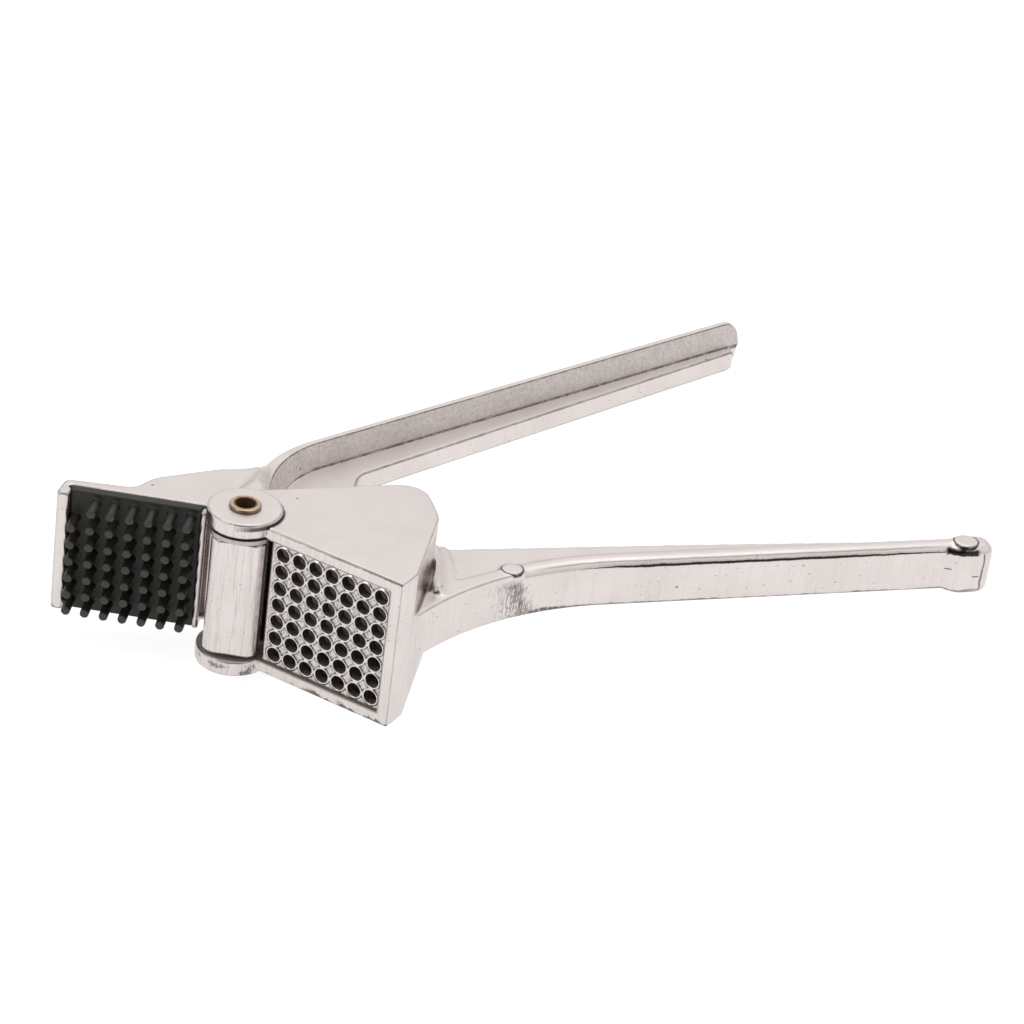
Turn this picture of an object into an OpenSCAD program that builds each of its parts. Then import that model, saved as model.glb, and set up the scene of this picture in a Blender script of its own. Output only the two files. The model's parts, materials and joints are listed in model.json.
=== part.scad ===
// Self-cleaning garlic press, lying on its side with the hinge axis upright.
// Two cast arms turn on one hollow rivet. One carries the hopper with its sieve, the other the
// plunger and a cleaning head, whose pins push through the sieve when the press is folded back.
// Millimetres and degrees. The origin is where the hinge axis leaves the rivet's flat lower head,
// +X runs along the hopper's handle and +Z up the hinge axis.

/* [Hinge] */
// Diameter of the two hinge ears on the hopper
ear_d = 13.5; // [12:0.5:15]
// Height over both ears
ear_stack = 31.6; // [30:0.2:36]
// Clear height between the ears
ear_gap = 25.5; // [24:0.5:27]
// Diameter of the pivot rivet's shank
rivet_d = 4.8; // [4:0.2:6]
// Diameter of the hole in the rivet's rolled end
rivet_hole_d = 3.7; // [2.4:0.1:4.4]
// Depth of that hole
rivet_hole_depth = 12; // [4:0.5:30]
// Diameter of the rivet's flat head and of its rolled end
rivet_head_d = 5.8; // [5.2:0.2:8]
// How far the flat head stands out of the lower ear
rivet_head_h = 0.9; // [0.4:0.1:1.5]
// How far the rolled end stands out of the upper ear
rivet_roll_h = 0.7; // [0.4:0.1:1.5]
// Thickness of the thrust washer under the upper ear
washer_t = 0.8; // [0.5:0.1:1.2]

/* [Hopper] */
// Height over the hopper's two side plates
hopper_h = 29.6; // [28:0.2:31]
// Thickness of the hopper's walls
hopper_wall = 2.4; // [1.8:0.1:3]
// Radius of the far wall's outside, measured from the hinge axis
hopper_r = 34.8; // [33:0.2:40]
// How far the side plates reach behind the hinge axis
hopper_back = 7.3; // [6:0.1:9]
// Corner radius of the side plates, far from the hinge
hopper_corner_r = 5; // [3:0.5:8]
// Angle from the hopper's handle to the sieve
sieve_angle = -47; // [-52:1:-42]
// How far the hopper's rim lies in front of the hinge axis
rim_front = 2.2; // [1.9:0.1:3]

/* [Sieve] */
// Columns of holes along the sieve
grid_columns = 7; // [5:1:7]
// Distance between neighbouring holes, and between neighbouring pins
grid_pitch = 3.45; // [3.2:0.05:3.5]
// Distance from the hinge axis to the first column of holes
hole_first = 9.85; // [9.7:0.05:10]
// Diameter of the holes
hole_d = 2.7; // [2.5:0.1:2.8]
// Thickness of the sieve
sieve_t = 1.8; // [1.4:0.1:2]
// How far the sieve's face lies behind the rim
sieve_set_back = 0.65; // [0.5:0.05:1]
// Height of the raised lip round each hole
lip_h = 0.25; // [0.1:0.05:0.4]
// Width of the raised lip round each hole
lip_w = 0.3; // [0.2:0.05:0.35]

/* [Cleaning head] */
// Angle from the hopper's handle to the cleaning head, with the press as drawn
head_angle = 158; // [154:1:160]
// Clearance between the cleaning head and each of the hopper's ears
head_clear = 0.55; // [0.4:0.05:1]
// Distance from the hinge axis to the outside of the end wall
head_reach = 34.1; // [33.5:0.1:36]
// Thickness of the end wall
end_wall_t = 2.5; // [1.8:0.1:2.6]
// Thickness of the lip on the hinge side
inner_lip_t = 1.1; // [0.8:0.1:1.3]
// Distance from the hinge axis to that lip's outer face
inner_lip_out = 8.0; // [7.9:0.1:8.1]
// Diameter of the pins at their foot
pin_d = 1.8; // [1.5:0.05:1.9]
// Diameter of the pins at their tip
pin_tip_d = 1.65; // [1.2:0.05:1.8]
// How far the pins stand out of their slab
pin_len = 4.63; // [4:0.1:5]
// Thickness of the slab that carries the pins
slab_t = 1.9; // [1.6:0.1:2.2]

/* [Handles] */
// Height of the handles' flanges
handle_h = 10; // [8:0.5:12]
// Thickness of the flanges
flange_t = 3; // [2.4:0.1:3.6]
// Radius of the flanges' outer shoulders
shoulder_r = 1.8; // [1:0.1:2.2]
// Distance from the hinge axis to the end of the hopper's handle
hopper_handle_reach = 143.8; // [120:1:170]
// Distance from the hinge line to the outer face of the hopper's handle
hopper_handle_off = 6.8; // [5:0.2:9]
// Where the bend of the hopper's handle ends, measured from the hinge axis
hopper_bend_end = 67.8; // [64:0.2:72]
// Distance from the hinge axis to the end of the plunger's handle, along the handle
plunger_handle_reach = 148.3; // [125:1:170]
// Distance from the hinge axis to the outer face of the plunger's handle
plunger_handle_off = 29.5; // [28:0.5:32]
// Angle between the handles, with the press as drawn
opening = 24; // [20:1:40]
// Outer radius of the plunger handle's bend
plunger_bend_r = 27; // [24:1:30]

/* [Plunger] */
// Thickness of the plunger's face plate and end wall
plunger_t = 2.6; // [2:0.1:3.2]
// Clearance between the plunger and the hopper's walls
plunger_clear = 0.35; // [0.25:0.05:0.6]
// Clearance between the plunger and the sieve, with the press shut
sieve_clear = 0.35; // [0.2:0.05:0.6]

/* [Hidden] */
$fn = 64;
eps = 0.01;
arc_step = 6;
big = 400;

// Running clearances, measured on the radius
ear_bore_clear = 0.03;
hub_bore_clear = 0.05;
seat_clear = 0.05;

// Heights above and below the mid-plane of the hinge
ear_half = ear_stack / 2;
ear_gap_half = ear_gap / 2;
plate_half = hopper_h / 2;
chamber_half = plate_half - hopper_wall;
sieve_half = chamber_half + 0.35;
head_half = min(ear_gap_half, sieve_half) - head_clear;
handle_half = handle_h / 2;
plunger_half = chamber_half - plunger_clear;
hub_top = ear_gap_half - washer_t - 0.4;

// Radii about the hinge axis
ear_r = ear_d / 2;
hub_r = ear_r - 0.15;
swing_r = ear_r + 0.25;
chamber_r = hopper_r - hopper_wall;
plunger_r = chamber_r - plunger_clear;

// Sieve: its two faces lie in front of (-) and behind (+) the hinge axis
sieve_front = rim_front - sieve_set_back;
sieve_back = sieve_t - sieve_front;
sieve_from = swing_r + 0.5;
groove_end = chamber_r + 0.7;
hole_r = hole_d / 2;

// Rows of holes and of pins: as many as both the sieve and the cleaning head have room for
grid_rows = 1 + floor(min(2 * chamber_half - hole_d, 2 * head_half - pin_d) / grid_pitch);

// Cleaning head: depths are measured along the pins, from the hinge axis
pin_tip = 2.23;
slab_face = pin_tip - pin_len;
slab_back = slab_face - slab_t;
tongue_t = 0.8;
tongue_w = 0.7;
end_wall_front = -0.9;
end_wall_in = head_reach - end_wall_t;
inner_lip_front = -1.5;
head_back_out = -6.1;
head_back_in = -6.9;
pin_first = hole_first - 0.1;
hub_flat_side = 5;
hub_flat_front = 5.7;
slot_floor = -5;

// Thick root of the plunger arm, in the frame of the cleaning head
root_back = [21, head_back_in];
root_corner = [18.2, -11.5];
root_far = [0.6, -22.4];
root_near = [4.5, -4.6];
root_corner_r = 6;
root_half = handle_half - 0.25;
slope_layer = 0.1;
ramp_middle = (head_half + handle_half) / 2 - 0.6;

// Handles
bend_bite = 0.15;
hopper_bend_r = (pow(hopper_bend_end, 2) + pow(hopper_handle_off, 2) - pow(hopper_r - bend_bite, 2))
    / (2 * (hopper_r - bend_bite - hopper_handle_off));
hopper_bend_turn = atan2(hopper_bend_end, hopper_handle_off + hopper_bend_r);
bend_foot = [hopper_bend_end, -hopper_handle_off - hopper_bend_r / 2];
bend_root = [chamber_r - 6, -hopper_handle_off - hopper_bend_r / 4];
web_top_hopper = handle_half - 0.4;
web_top_plunger = -0.3;
web_low = 0.5 - handle_half;
web_back_start = [chamber_r + 1, 1.1];
web_back_mid = [86, -1.2];
web_back_end = [hopper_handle_reach - 8, -3.9];
web_lap = 1.5;
land_start = -2;
land_corner = [36, -10.9, 2.4];
land_end = [50.5, -6.2];
land_edge = 0.25;
wall_fillet_from = -24.5;
wall_fillet_to = 2;
wall_fillet = 3.6;
pad_h = 0.12;
root_pad = [48.5, -7.6];
root_pad_r = 2;
end_pad_r = 2.3;
knob_start = hopper_handle_reach - 9.2;
knob_swell = 2.2;
knob_front = -hopper_handle_off - 1.2;
knob_back = -hopper_handle_off + 4.2;
knob_swell_r = 2.6;
knob_front_r = 2.1;
knob_back_r = 2.5;
knob_bevel = 1.2;
end_pad = [hopper_handle_reach - 5.4, (knob_front + knob_back) / 2 - 0.1];
knob_top = handle_half + 0.15;
knob_low = -handle_half - 0.5;
end_bulge = 3.3;
end_arc_r = (handle_half * handle_half + end_bulge * end_bulge) / (2 * end_bulge);
plunger_bend_at = 37.6;
plunger_bend_turn = 80;
plunger_bend_c = [plunger_bend_at, plunger_handle_off - plunger_bend_r];
plunger_web_in = plunger_handle_off - 8.7;
plunger_web_tip = plunger_handle_off - 5.1;
plunger_web_bend = [43.5, plunger_web_in];
plunger_web_fillet = 6;

// Plunger, turned open with the arm
plunger_angle = sieve_angle + opening;
plunger_face = sieve_back + sieve_clear;
plunger_wall_sweep = 32;
plunger_web_sweep = 61;
plunger_web_r = plunger_r - plunger_t / 2;

// The hinge axis stands on the origin, with the rivet's flat head at its foot
hinge_at = [0, 0, ear_half + rivet_head_h];

// A point given along and across a direction, in the plan of the press
function seen(along, across, angle) = [
    along * cos(angle) - across * sin(angle),
    along * sin(angle) + across * cos(angle)
];

// A point turned about the hinge axis
function turned(p, angle) = seen(p[0], p[1], angle);

// The direction in which b lies, seen from a
function heading(a, b) = atan2(b[1] - a[1], b[0] - a[0]);

// A point of an outline that stays sharp
function sharp(p) = [p[0], p[1], 0];

// A slab between two heights
module between(low, high) {
    translate([0, 0, low]) linear_extrude(high - low) children();
}

// A bar along the direction of its parent: from-to along it, across it and in height
module bar(along, across, height) {
    translate([along[0], across[0], height[0]])
        cube([along[1] - along[0], across[1] - across[0], height[1] - height[0]]);
}

// The points of an outline whose corners [x, y, r] are rounded by their own radius r, or left sharp at 0
function outline(corners) = [
    for (i = [0 : len(corners) - 1])
        each corner_points(corners[(i + len(corners) - 1) % len(corners)], corners[i],
                           corners[(i + 1) % len(corners)])
];

function corner_points(before, at, after) = at[2] == 0 ? [[at[0], at[1]]] :
    let (
        a = heading(at, before),
        turn = (heading(at, after) - a + 540) % 360 - 180,
        side = sign(turn),
        middle = a + turn / 2,
        centre = [at[0], at[1]] + at[2] / sin(abs(turn) / 2) * [cos(middle), sin(middle)],
        sweep = turn - side * 180,
        steps = max(2, ceil(abs(sweep) / arc_step))
    )
    [for (k = [0 : steps]) centre + seen(at[2], 0, a - side * 90 + sweep * k / steps)];

// Everything is drawn about the hinge axis and then moved to the part's own origin
module placed() {
    translate(hinge_at) children();
}

// ---- Handles ----

// Section of a flange, standing on its outer face at x = 0, with round outer shoulders
module flange_section() {
    straight = handle_half - shoulder_r;
    union() {
        translate([0, -straight]) square([shoulder_r + eps, 2 * straight]);
        translate([shoulder_r, -handle_half]) square([flange_t - shoulder_r, handle_h]);
        for (side = [-1, 1])
            translate([shoulder_r, side * straight]) circle(shoulder_r);
    }
}

// A straight flange along +X, its outer face on y = 0 and its body towards +Y
module straight_flange(length) {
    rotate([90, 0, 90]) linear_extrude(length) flange_section();
}

module hopper_bend_profile() {
    translate([hopper_bend_r, 0]) flange_section();
}

module plunger_bend_profile() {
    translate([plunger_bend_r, 0]) mirror([1, 0]) flange_section();
}

// ---- Hopper arm ----

// Plan of the side plates
module plate_plan() {
    front_a = seen(0, -rim_front, sieve_angle);
    front_b = seen(hopper_r + 2, -rim_front, sieve_angle);
    corner_c = [sqrt(pow(hopper_r - hopper_corner_r, 2) - pow(hopper_back - hopper_corner_r, 2)),
                hopper_back - hopper_corner_r];
    union() {
        circle(ear_r);
        translate(corner_c) circle(hopper_corner_r);
        intersection() {
            circle(hopper_r, $fn = 128);
            polygon([front_a, front_b, [hopper_r + 2, 0], corner_c * 2,
                     corner_c, [corner_c[0], hopper_back], [0, hopper_back]]);
        }
    }
}

// The chamber for the garlic, open at the sieve and at the back
module chamber() {
    between(-chamber_half, chamber_half) circle(chamber_r, $fn = 128);
}

module sieve_seat() {
    rotate(sieve_angle)
        bar([0, groove_end], [-sieve_front - seat_clear, sieve_back + seat_clear], [-sieve_half, sieve_half]);
}

// The handle with its bend, which leaves the far wall along its tangent
module hopper_handle() {
    bend_centre = [hopper_bend_end, -hopper_handle_off - hopper_bend_r];
    translate(bend_centre)
        rotate(90) rotate_extrude(angle = hopper_bend_turn, $fn = 256) hopper_bend_profile();
    translate([hopper_bend_end, -hopper_handle_off])
        straight_flange(hopper_handle_reach - knob_bevel - hopper_bend_end - flange_t);
    between(0, web_top_hopper) difference() {
        polygon([web_back_start, web_back_mid, web_back_end,
                 [web_back_end[0], -hopper_handle_off + web_lap],
                 [hopper_bend_end, -hopper_handle_off + web_lap], bend_foot, bend_root]);
        translate(bend_centre) circle(hopper_bend_r + flange_t / 2, $fn = 256);
    }
    between(0, handle_half) difference() {
        polygon(outline([
            [web_back_start[0], land_start, 0], land_corner, sharp(land_end),
            [land_end[0], land_end[1] - flange_t, 0], sharp(bend_foot), sharp(bend_root)
        ]));
        translate(bend_centre) circle(hopper_bend_r + land_edge, $fn = 256);
    }
    translate(root_pad) cylinder(h = handle_half + pad_h, r = root_pad_r, $fn = 48);
    wall_fillet();
    end_knob();
}

// Concave fillet between the far wall and the top of the handle
module wall_fillet() {
    foot = web_top_hopper - 0.2;
    rotate(wall_fillet_from) rotate_extrude(angle = wall_fillet_to - wall_fillet_from, $fn = 128)
        polygon([[hopper_r - bend_bite, foot], [hopper_r + wall_fillet, foot],
                 for (k = [0 : 4])
                     [hopper_r + wall_fillet * (1 - sin(80 * k / 4)),
                      handle_half - 0.1 + wall_fillet * (1 - cos(80 * k / 4))],
                 [hopper_r - bend_bite, handle_half + wall_fillet]]);
}

// Plan of the knob at the end of the hopper's handle, drawn in by an inset
function knob_plan(inset) = outline([
    [knob_start + 2 * inset, -hopper_handle_off + inset / 2, 0],
    [knob_start + knob_swell + inset, knob_front + inset, knob_swell_r],
    [hopper_handle_reach - inset, knob_front + inset, knob_front_r - inset],
    [hopper_handle_reach - inset, knob_back - inset, knob_back_r - inset],
    [knob_start + 2 * inset, knob_back - inset, 0]
]);

module end_knob() {
    hull() {
        between(knob_low + knob_bevel, knob_top - knob_bevel) polygon(knob_plan(0));
        between(knob_low, knob_top) polygon(knob_plan(knob_bevel));
    }
    translate(end_pad) cylinder(h = knob_top + pad_h, r = end_pad_r, $fn = 48);
}

module hopper_arm() {
    color("gainsboro") placed() difference() {
        union() {
            difference() {
                union() {
                    between(-plate_half, plate_half) plate_plan();
                    hopper_handle();
                }
                chamber();
                rotate(sieve_angle) bar([-big, 0], [-big, 0], [-chamber_half, chamber_half]);
            }
            between(-ear_half, ear_half) circle(ear_r);
        }
        between(-ear_gap_half, ear_gap_half) circle(swing_r);
        sieve_seat();
        between(-big, big) circle(rivet_d / 2 + ear_bore_clear);
    }
}

// ---- Sieve ----

// Columns count from the hinge and rows from below. The last of them may be left off.
module at_each_hole(first, but_last = false) {
    for (i = [0 : grid_columns - 1])
        for (k = [0 : grid_rows - 1])
            if (!but_last || i < grid_columns - 1 || k < grid_rows - 1)
                translate([first + i * grid_pitch, 0, (k - (grid_rows - 1) / 2) * grid_pitch])
                    rotate([90, 0, 0]) children();
}

module sieve_plate() {
    color("gainsboro") placed() rotate(sieve_angle) difference() {
        union() {
            bar([sieve_from, groove_end - seat_clear], [-sieve_front, sieve_back],
                [-sieve_half + seat_clear, sieve_half - seat_clear]);
            at_each_hole(hole_first)
                translate([0, 0, sieve_front - eps]) cylinder(h = lip_h + eps, r = hole_r + lip_w, $fn = 32);
        }
        at_each_hole(hole_first) cylinder(h = 4 * sieve_t, r = hole_r, center = true, $fn = 32);
    }
}

// ---- Plunger arm ----

// Plan of the full-height part: hub, cleaning head and thick root, in the frame of the head
module head_plan() {
    lip_in = inner_lip_out - inner_lip_t;
    polygon(outline([
        [0, 0, 0], [hub_flat_side, 0, 0], [hub_flat_side, slot_floor, 0.6], [lip_in, slot_floor, 0.6],
        [lip_in, inner_lip_front, 0.3], [inner_lip_out, inner_lip_front, 0.3], [inner_lip_out, slab_back, 0],
        [end_wall_in, slab_back, 0], [end_wall_in, end_wall_front, 0.5], [head_reach, end_wall_front, 0.8],
        [head_reach - 0.8, head_back_out, 1.2], [root_back[0], root_back[1], 3],
        [root_corner[0], root_corner[1], root_corner_r], [root_far[0], root_far[1], 0.8], sharp(root_near)
    ]));
}

module hub_plan() {
    intersection() {
        circle(hub_r);
        translate([-hub_flat_side, -hub_r]) square([2 * hub_flat_side, hub_r + hub_flat_front]);
    }
}

module insert_groove() {
    rotate(head_angle) bar([inner_lip_out - tongue_w, end_wall_in + tongue_w],
                           [slab_back, slab_back + tongue_t + seat_clear], [-big, big]);
}

// Plan of the web behind the plunger, in the frame of the plunger
module plunger_web_plan() {
    face = plunger_face + plunger_t / 2;
    far = 2 * plunger_r;
    intersection() {
        circle(plunger_web_r, $fn = 128);
        polygon([[0, face], [far, face],
                 seen(far, 0, plunger_web_sweep / 2), seen(far, 0, plunger_web_sweep)]);
    }
}

// A point in the bend of the plunger's flange, by its depth in the flange and how far the bend has turned
function bend_point(depth, turn) = plunger_bend_c + (plunger_bend_r - depth) * [-sin(turn), cos(turn)];

// The same point in the frame of the hopper's handle
function in_bend(depth, turn) = turned(bend_point(depth, turn), opening);

// Plan of the web of the plunger's handle, in the frame of that handle
module handle_web_plan() {
    flange_mid = plunger_handle_off - flange_t / 2;
    bend_reach = flange_mid - plunger_bend_c[1];
    outer_corner = plunger_bend_c + bend_reach * [-tan(plunger_bend_turn / 2), 1];
    past_end = bend_point(flange_t / 2, plunger_bend_turn) - flange_t * seen(1, 0, plunger_bend_turn);
    sector_end = plunger_angle - opening + plunger_web_sweep;
    polygon(outline([
        [0, ear_r / 2, 0],
        sharp(seen(plunger_web_r, 0, sector_end / 2)), sharp(seen(plunger_web_r, 0, sector_end)),
        [plunger_web_bend[0], plunger_web_bend[1], plunger_web_fillet],
        [plunger_handle_reach - end_bulge, plunger_web_tip, 0],
        [plunger_handle_reach - end_bulge, flange_mid, 0],
        [outer_corner[0], outer_corner[1], bend_reach], sharp(past_end)
    ]));
}

// Plan of the solid root between the cleaning head and the bend, in the frame of the hopper's handle
module root_plan() {
    polygon([[0, 0], turned(root_far, head_angle),
             for (turn = [45 : 7 : plunger_bend_turn]) in_bend(flange_t / 2, turn)]);
}

// A body that slopes from one outline down to another
module slope(upper, upper_z, lower, lower_z) {
    hull() {
        between(upper_z - slope_layer, upper_z) polygon(upper);
        between(lower_z - slope_layer, lower_z) polygon(lower);
    }
}

// The thick root falls to the flange in two slopes, steep and then flat. Each outline runs from beside
// the hub along the inside of the flange's bend and back along its outside.
module root_ramp() {
    near = turned(root_near, head_angle);
    far = turned(root_far, head_angle);
    along = heading(near, far);
    in_wall = seen(0, slope_layer / 2, along);
    corner = far + seen(-0.5, 0.3, along);
    top = [near + in_wall, far + in_wall, (near + far) / 2 + seen(0, 3, along)];
    middle = [near + seen(0, -2, along), in_bend(2.4, 64), in_bend(2.4, 48), in_bend(0.9, 44), corner];
    foot = [near + seen(0, -5, along), in_bend(1.5, 70), in_bend(1.5, 31), in_bend(0.6, 30),
            in_bend(0.6, 46), corner];
    slope(top, head_half, middle, ramp_middle);
    slope(middle, ramp_middle, foot, root_half);
}

module plunger_handle() {
    rotate(opening) {
        translate([plunger_bend_c[0], plunger_bend_c[1], 0])
            rotate(90) rotate_extrude(angle = plunger_bend_turn, $fn = 256) plunger_bend_profile();
        translate([plunger_bend_at, plunger_handle_off, 0])
            mirror([0, 1, 0]) straight_flange(plunger_handle_reach - plunger_bend_at);
    }
    between(-root_half, root_half) root_plan();
    root_ramp();
    between(web_low, web_top_plunger) {
        rotate(opening) handle_web_plan();
        rotate(plunger_angle) plunger_web_plan();
    }
}

// What lies beyond the rounded end of the plunger's handle
module beyond_handle_end() {
    end_centre = plunger_handle_reach - end_arc_r;
    rotate(opening) translate([0, big / 2, 0]) rotate([90, 0, 0]) linear_extrude(big) difference() {
        translate([end_centre, -big / 2]) square(big);
        translate([end_centre, 0]) circle(end_arc_r);
    }
}

// Plan of the plunger's face plate and end wall, in the frame of the plunger
module plunger_plan() {
    far = 2 * plunger_r;
    intersection() {
        circle(plunger_r, $fn = 128);
        union() {
            translate([0, plunger_face]) square([far, plunger_t]);
            difference() {
                polygon([[0, plunger_face], [far, plunger_face],
                         seen(far, plunger_face, plunger_wall_sweep)]);
                circle(plunger_r - plunger_t, $fn = 128);
            }
        }
    }
}

module plunger() {
    rotate(plunger_angle) between(-plunger_half, plunger_half) plunger_plan();
}

module plunger_arm() {
    color("silver") placed() difference() {
        union() {
            rotate(head_angle) {
                between(-head_half, head_half) head_plan();
                between(-head_half, hub_top) hub_plan();
            }
            difference() {
                plunger_handle();
                beyond_handle_end();
            }
            plunger();
        }
        insert_groove();
        between(hub_top, big) circle(swing_r);
        between(-big, -head_half - eps) circle(swing_r);
        between(-big, big) circle(rivet_d / 2 + hub_bore_clear);
    }
}

// ---- Cleaning insert ----

module cleaning_insert() {
    color([0.08, 0.08, 0.09]) placed() rotate(head_angle) {
        bar([inner_lip_out + seat_clear, end_wall_in - seat_clear], [slab_back + seat_clear, slab_face],
            [-head_half, head_half]);
        bar([inner_lip_out - tongue_w + seat_clear, end_wall_in + tongue_w - seat_clear],
            [slab_back + seat_clear, slab_back + tongue_t], [-head_half, head_half]);
        // The mould leaves no pin at the top of the column beside the end wall
        at_each_hole(pin_first, but_last = true)
            translate([0, 0, -slab_face - pin_len])
                cylinder(h = pin_len + eps, r1 = pin_tip_d / 2, r2 = pin_d / 2, $fn = 24);
    }
}

// ---- Pivot ----

module pivot_rivet() {
    shank_r = rivet_d / 2;
    bore_r = rivet_hole_d / 2;
    head_r = rivet_head_d / 2;
    head_round = rivet_head_h / 2;
    roll_r = rivet_roll_h / 2;
    rolled_top = ear_half + rivet_roll_h;
    hole_floor = rolled_top - rivet_hole_depth;
    color([0.72, 0.62, 0.45]) placed() rotate_extrude() {
        translate([0, -ear_half - eps]) square([shank_r, hole_floor + ear_half + eps]);
        translate([bore_r, -ear_half]) square([shank_r - bore_r, ear_half + rolled_top]);
        translate([bore_r, ear_half]) square([head_r - roll_r - bore_r, rivet_roll_h]);
        translate([head_r - roll_r, ear_half + roll_r]) circle(roll_r);
        translate([0, -ear_half - rivet_head_h]) square([head_r - head_round, rivet_head_h]);
        translate([0, -ear_half - head_round]) square([head_r, head_round]);
        translate([head_r - head_round, -ear_half - head_round]) circle(head_round);
    }
}

module thrust_washer() {
    color([0.45, 0.45, 0.45]) placed()
        between(hub_top + seat_clear, hub_top + seat_clear + washer_t) difference() {
            circle(hub_r);
            circle(rivet_d / 2 + hub_bore_clear);
        }
}

hopper_arm();
sieve_plate();
plunger_arm();
cleaning_insert();
pivot_rivet();
thrust_washer();
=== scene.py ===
import json
import math

import bpy
import numpy as np
from mathutils import Euler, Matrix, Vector


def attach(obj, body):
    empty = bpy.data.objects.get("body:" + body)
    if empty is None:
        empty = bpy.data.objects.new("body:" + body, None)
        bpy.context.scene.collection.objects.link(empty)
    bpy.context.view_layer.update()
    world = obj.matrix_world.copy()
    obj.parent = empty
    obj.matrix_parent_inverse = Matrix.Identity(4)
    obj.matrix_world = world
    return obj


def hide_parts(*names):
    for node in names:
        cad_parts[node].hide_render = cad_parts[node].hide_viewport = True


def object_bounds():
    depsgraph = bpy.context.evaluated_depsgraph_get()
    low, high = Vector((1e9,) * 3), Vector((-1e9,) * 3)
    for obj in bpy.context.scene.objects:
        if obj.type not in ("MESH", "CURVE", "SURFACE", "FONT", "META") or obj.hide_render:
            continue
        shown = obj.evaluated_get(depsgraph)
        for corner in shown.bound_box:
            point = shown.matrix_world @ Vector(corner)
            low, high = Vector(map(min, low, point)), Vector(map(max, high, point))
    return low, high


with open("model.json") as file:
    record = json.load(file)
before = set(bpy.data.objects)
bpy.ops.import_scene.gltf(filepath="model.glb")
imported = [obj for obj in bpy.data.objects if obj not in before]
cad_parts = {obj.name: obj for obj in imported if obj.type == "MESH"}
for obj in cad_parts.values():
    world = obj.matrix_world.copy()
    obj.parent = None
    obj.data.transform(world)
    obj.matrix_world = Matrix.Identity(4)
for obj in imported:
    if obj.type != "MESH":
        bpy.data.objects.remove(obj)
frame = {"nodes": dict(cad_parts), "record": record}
CAD_BOX = [list(corner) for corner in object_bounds()]
NODES = frame["nodes"]

MM = 0.001
HINGE_Z = frame["record"]["behaviour"]["joints"][0]["pos_m"][2]

# Sizes, places and angles of the CAD part that the looks follow, in metres and degrees
SIEVE_ANGLE = -47.0
HEAD_ANGLE = 158.0
PLUNGER_ANGLE = -23.0
OPENING = 24.0
PLATE_HALF = 14.8 * MM
RIM_FRONT = -2.2 * MM
SIEVE_FRONT = -1.55 * MM
PLUNGER_FACE = 0.6 * MM
CHAMBER_R = 32.4 * MM
CHAMBER_HALF = 12.4 * MM
EAR_R = 6.75 * MM
PIN_TIP = 2.23 * MM
RIVET_HOLE_R = 1.85 * MM
HANDLE_HALF = 5.0 * MM
FLANGE_T = 3.0 * MM
SHOULDER_R = 1.8 * MM
PLUNGER_HANDLE_OFF = 29.5 * MM
PLUNGER_HANDLE_REACH = 148.3 * MM
PLUNGER_BEND_R = 27.0 * MM
PLUNGER_BEND_AT = 37.6 * MM
PLUNGER_WEB_TOP = -0.3 * MM
HOPPER_HANDLE_FRONT = -6.8 * MM
HOPPER_HANDLE_REACH = 143.8 * MM

# Centre and radius, in the plan, of the two round pads on the hopper's handle
END_PAD = (138.4 * MM, -5.4 * MM, 2.3 * MM)
ROOT_PAD = (48.5 * MM, -7.6 * MM, 2.0 * MM)

# Middle of the flute where the hopper's handle leaves the wall
FLUTE = (34.5 * MM, -7.5 * MM)

# The slanting inner face of the plunger's handle: how deep its top lies, how much deeper its top and foot
# get for each degree past the bend's start, and how many degrees past it the face ends
SLANT_TOP = 2.3 * MM
SLANT_TOP_GROWS = 0.025 * MM
SLANT_FOOT_GROWS = 0.05 * MM
SLANT_ENDS = 70.0

# How far a point may lie from the CAD section's outline and still count as on it
SKIN = 0.35 * MM

# How finely each piece is remeshed
HOPPER_VOXEL = 0.26 * MM
PLUNGER_VOXEL = 0.28 * MM
SIEVE_VOXEL = 0.14 * MM
INSERT_VOXEL = 0.17 * MM

# The camera, in the part's own frame
CAMERA_AT = Vector((-0.1404, -0.5329, HINGE_Z + 0.3363))
CAMERA_TURN = (59.983, -6.674, -15.791)
CAMERA_LENS = 126.56
SENSOR = 36.0

# The studio around the part: its brightness overhead and at the floor. Then its dark side, towards the
# camera: the direction, how many degrees off that direction it starts and is full, and its brightness
WORLD_TOP = 1.0
WORLD_LOW = 0.6
DARK_SIDE = (-0.22, -0.82, 0.53)
DARK_OUT = 34.0
DARK_IN = 20.0
DARK_LEVEL = 0.1

# Lamps: name, place, size in metres and power in watts
LAMPS = (
    ("top", (0.1, 0.2, 1.0), 0.8, 1.5),
    ("left", (-0.9, -0.3, 0.6), 0.5, 1.0),
)

# The floor: its size and colour, how brightly it glows everywhere, and what is added to that where the
# camera sees it and in reflections
FLOOR_SIZE = 6.0
FLOOR_COLOUR = (0.35, 0.35, 0.35, 1.0)
FLOOR_GLOW = 0.25
FLOOR_SEEN = 0.6
FLOOR_MIRRORED = 0.35

# The press lies on three points: the rivet's head, the hopper's lower back corner and a handle's tip
REST_POINTS = (
    Vector((1.6, 1.9, 0.0)) * MM,
    Vector((32.9, 6.2, 1.9)) * MM,
    Vector((121.2, 84.3, 11.7)) * MM,
)

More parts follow.
